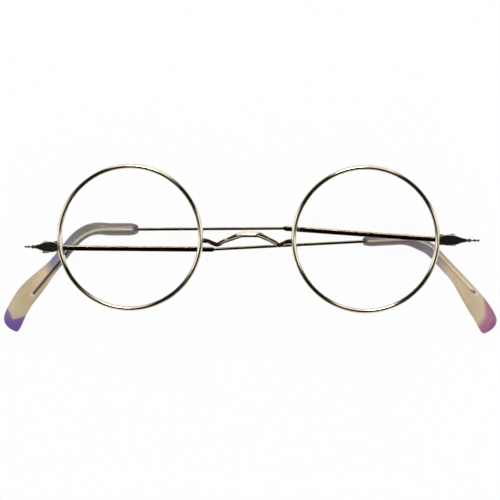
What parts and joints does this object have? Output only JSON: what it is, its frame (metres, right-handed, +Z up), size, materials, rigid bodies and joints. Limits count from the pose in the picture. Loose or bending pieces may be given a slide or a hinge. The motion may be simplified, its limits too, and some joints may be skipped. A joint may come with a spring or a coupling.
{
  "type": "round wire-rim eyeglasses",
  "caption": "Folding round wire-rim eyeglasses with clear lenses, a saddle bridge, spindle endpieces and wire temples that end in translucent ear sleeves.",
  "frame": {"origin": "on the surface that the folded glasses lie on, under the middle of their outline", "axes": "+X from the wearer's-right lens as seen from the front, left to right across the front; +Y up the wearer's face; +Z up, out of the lens fronts"},
  "size_m": [0.1462, 0.0498, 0.0136],
  "materials": {
    "gold_wire": "polished pale gold plate",
    "gold_fittings": "polished pale gold plate",
    "temple_metal": "polished pale gold plate, slightly darker",
    "screw_steel": "small turned steel",
    "clear_lens": "clear polished lens",
    "tip_plastic": "smoky translucent plastic, violet at the tips"
  },
  "bodies": {
    "front": {"left_rim": "gold_wire", "right_rim": "gold_wire", "left_lens": "clear_lens", "right_lens": "clear_lens", "bridge": "gold_wire", "left_upper_lock_barrel": "gold_fittings", "left_lower_lock_barrel": "gold_fittings", "left_lock_screw": "screw_steel", "right_upper_lock_barrel": "gold_fittings", "right_lower_lock_barrel": "gold_fittings", "right_lock_screw": "screw_steel", "left_endpiece": "gold_fittings", "right_endpiece": "gold_fittings", "left_finial": "gold_fittings", "right_finial": "gold_fittings", "left_front_hinge_leaf": "gold_fittings", "right_front_hinge_leaf": "gold_fittings", "left_hinge_screw": "screw_steel", "right_hinge_screw": "screw_steel"},
    "right_temple_arm": {"right_temple": "temple_metal", "right_temple_hinge_leaf": "gold_fittings", "right_tip_sleeve": "tip_plastic"},
    "left_temple_arm": {"left_temple": "temple_metal", "left_temple_hinge_leaf": "gold_fittings", "left_tip_sleeve": "tip_plastic"}
  },
  "joints": [
    {"name": "right_temple_hinge", "type": "hinge", "parent": "front", "child": "right_temple_arm", "pos_m": [0.05966, 0.00329, 0.00886], "axis": [0.026, -0.9997, 0], "range_deg": [0, 93]},
    {"name": "left_temple_hinge", "type": "hinge", "parent": "front", "child": "left_temple_arm", "pos_m": [-0.05934, 0.00019, 0.00886], "axis": [-0.026, 0.9997, 0], "range_deg": [0, 86.5]}
  ],
  "couplings": [
    {"joint": "left_temple_hinge", "follows": "right_temple_hinge", "ratio": 0.93}
  ]
}
